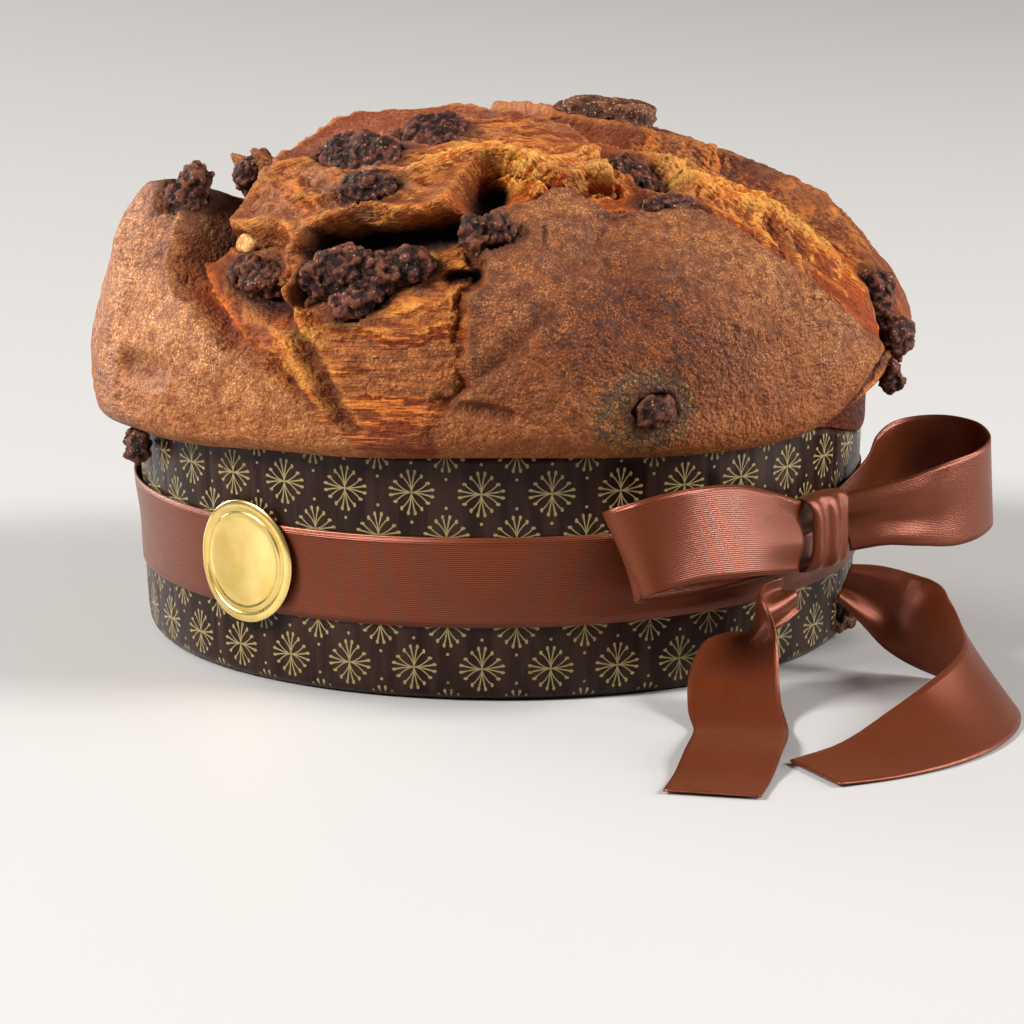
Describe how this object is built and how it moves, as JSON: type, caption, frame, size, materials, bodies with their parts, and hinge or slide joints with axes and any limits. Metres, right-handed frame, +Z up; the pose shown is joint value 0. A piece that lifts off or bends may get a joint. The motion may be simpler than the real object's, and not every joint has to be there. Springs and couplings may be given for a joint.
{
  "type": "chocolate panettone",
  "caption": "Tall round sweet loaf with a torn, domed crust and lumps of chocolate, in a patterned paper case with a satin ribbon bow and a round foil seal.",
  "frame": {"origin": "centre of the flat underside of the paper case", "axes": "+Z up, -Y towards the side with the foil seal and the open torn crust, +X towards the bow"},
  "size_m": [0.2579, 0.3107, 0.1515],
  "materials": {
    "crust": "baked crust, golden brown to dark brown, satin, with paler torn dough",
    "chocolate": "rough dark chocolate with pale crumbs",
    "nut": "pale toasted crumb",
    "paper": "coated dark brown baking paper with a printed floret lattice in pale gold green",
    "satin": "brown satin ribbon with a fine weave",
    "foil": "embossed gold foil"
  },
  "bodies": {
    "root": {"bread": "crust", "paper_case": "paper", "chocolate_back": "chocolate", "chocolate_back_top": "chocolate", "chocolate_block": "chocolate", "chocolate_burst": "chocolate", "chocolate_crack": "chocolate", "chocolate_dome": "chocolate", "chocolate_edge": "chocolate", "chocolate_flat_left": "chocolate", "chocolate_flat_right": "chocolate", "chocolate_hole": "chocolate", "chocolate_horn": "chocolate", "chocolate_large": "chocolate", "chocolate_left": "chocolate", "chocolate_lip": "chocolate", "chocolate_ridge": "chocolate", "chocolate_right": "chocolate", "chocolate_stain": "chocolate", "chocolate_tongue": "chocolate", "nut_piece": "nut", "ribbon_band": "satin", "bow_knot": "satin", "bow_loop_left": "satin", "bow_loop_right": "satin", "ribbon_tail_left": "satin", "ribbon_tail_right": "satin", "seal": "foil"}
  },
  "joints": []
}
